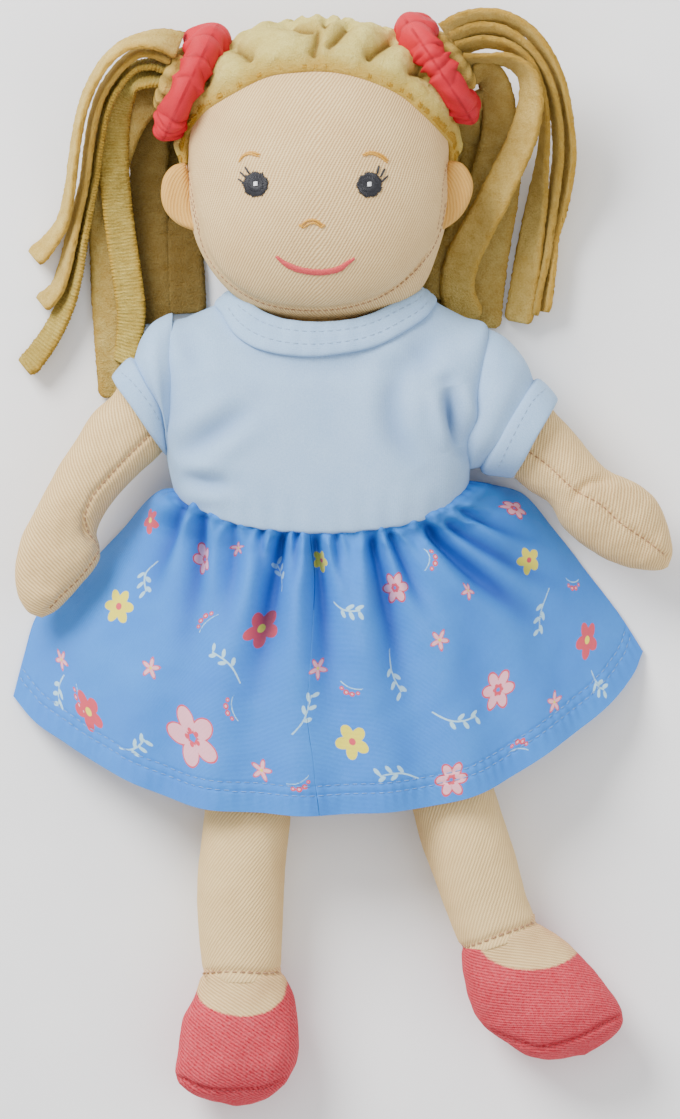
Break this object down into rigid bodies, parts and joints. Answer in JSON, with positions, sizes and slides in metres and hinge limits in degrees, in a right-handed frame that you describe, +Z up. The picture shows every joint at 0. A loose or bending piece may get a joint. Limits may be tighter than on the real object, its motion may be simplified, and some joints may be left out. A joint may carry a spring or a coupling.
{
  "type": "rag doll",
  "caption": "Soft stuffed doll in a short-sleeved dress, lying on its back, with cloth-strip ponytails and seams at neck, shoulders and hips that let the head and limbs move.",
  "frame": {"origin": "centre of the bounding box at the level of the face that the doll lies on", "axes": "X towards the doll's own left hand, Y towards the top of its head, Z up from its back to its face"},
  "size_m": [0.1992, 0.328, 0.0582],
  "materials": {
    "skin_twill": "cotton twill",
    "hair_plush": "short-pile plush, ribbed on its back",
    "hair_band_plush": "short-pile plush, gathered",
    "tie_cloth": "gathered cotton",
    "bodice_knit": "fine knit",
    "skirt_cloth": "printed plain weave",
    "shoe_twill": "cotton twill"
  },
  "bodies": {
    "trunk": {"body": "skin_twill", "dress_bodice": "bodice_knit", "dress_neckband": "bodice_knit", "skirt_front_right": "skirt_cloth", "skirt_front_left": "skirt_cloth", "skirt_back": "skirt_cloth"},
    "head": {"head": "skin_twill", "ear_right": "skin_twill", "ear_left": "skin_twill", "hair_cap": "hair_plush", "hairline_band": "hair_band_plush", "hair_tie_right": "tie_cloth", "hair_tie_left": "tie_cloth", "hair_bunch_right": "hair_plush", "hair_bunch_left": "hair_plush"},
    "ponytail_right": {"hair_strand_outer_right": "hair_plush", "hair_strand_upper_right": "hair_plush", "hair_strand_ribbed_right": "hair_plush", "hair_strand_broad_right": "hair_plush", "hair_strand_hind_right": "hair_plush", "hair_strand_middle_right": "hair_plush", "hair_strand_inner_right": "hair_plush"},
    "ponytail_left": {"hair_strand_outer_left": "hair_plush", "hair_strand_upper_left": "hair_plush", "hair_strand_curled_left": "hair_plush", "hair_strand_broad_left": "hair_plush", "hair_strand_hind_left": "hair_plush", "hair_strand_middle_left": "hair_plush", "hair_strand_inner_left": "hair_plush"},
    "right_arm": {"arm_right": "skin_twill", "sleeve_right": "bodice_knit", "sleeve_cuff_right": "bodice_knit"},
    "left_arm": {"arm_left": "skin_twill", "sleeve_left": "bodice_knit", "sleeve_cuff_left": "bodice_knit"},
    "right_leg": {"leg_right": "skin_twill", "shoe_upper_right": "shoe_twill", "shoe_sole_right": "shoe_twill"},
    "left_leg": {"leg_left": "skin_twill", "shoe_upper_left": "shoe_twill", "shoe_sole_left": "shoe_twill"}
  },
  "joints": [
    {"name": "head_turn", "type": "hinge", "parent": "trunk", "child": "head", "pos_m": [-0.00535, 0.0718, 0.022], "axis": [0, 0, 1], "range_deg": [-15, 15]},
    {"name": "ponytail_right_swing", "type": "hinge", "parent": "head", "child": "ponytail_right", "pos_m": [-0.04645, 0.1426, 0.031], "axis": [0, 0, -1], "range_deg": [0, 25]},
    {"name": "ponytail_left_swing", "type": "hinge", "parent": "head", "child": "ponytail_left", "pos_m": [0.02915, 0.147, 0.031], "axis": [0, 0, 1], "range_deg": [0, 25]},
    {"name": "shoulder_right_raise", "type": "hinge", "parent": "trunk", "child": "right_arm", "pos_m": [-0.05015, 0.0526, 0.022], "axis": [0, 0, -1], "range_deg": [0, 75]},
    {"name": "shoulder_left_raise", "type": "hinge", "parent": "trunk", "child": "left_arm", "pos_m": [0.04265, 0.0458, 0.022], "axis": [0, 0, 1], "range_deg": [-12, 50]},
    {"name": "hip_right_bend", "type": "hinge", "parent": "trunk", "child": "right_leg", "pos_m": [-0.02635, -0.0232, 0.017], "axis": [-1, 0, 0], "range_deg": [0, 85], "deforming": ["skirt_front_right"]},
    {"name": "hip_left_bend", "type": "hinge", "parent": "trunk", "child": "left_leg", "pos_m": [0.01565, -0.0172, 0.017], "axis": [-1, 0, 0], "range_deg": [0, 85], "deforming": ["skirt_front_left"]}
  ]
}
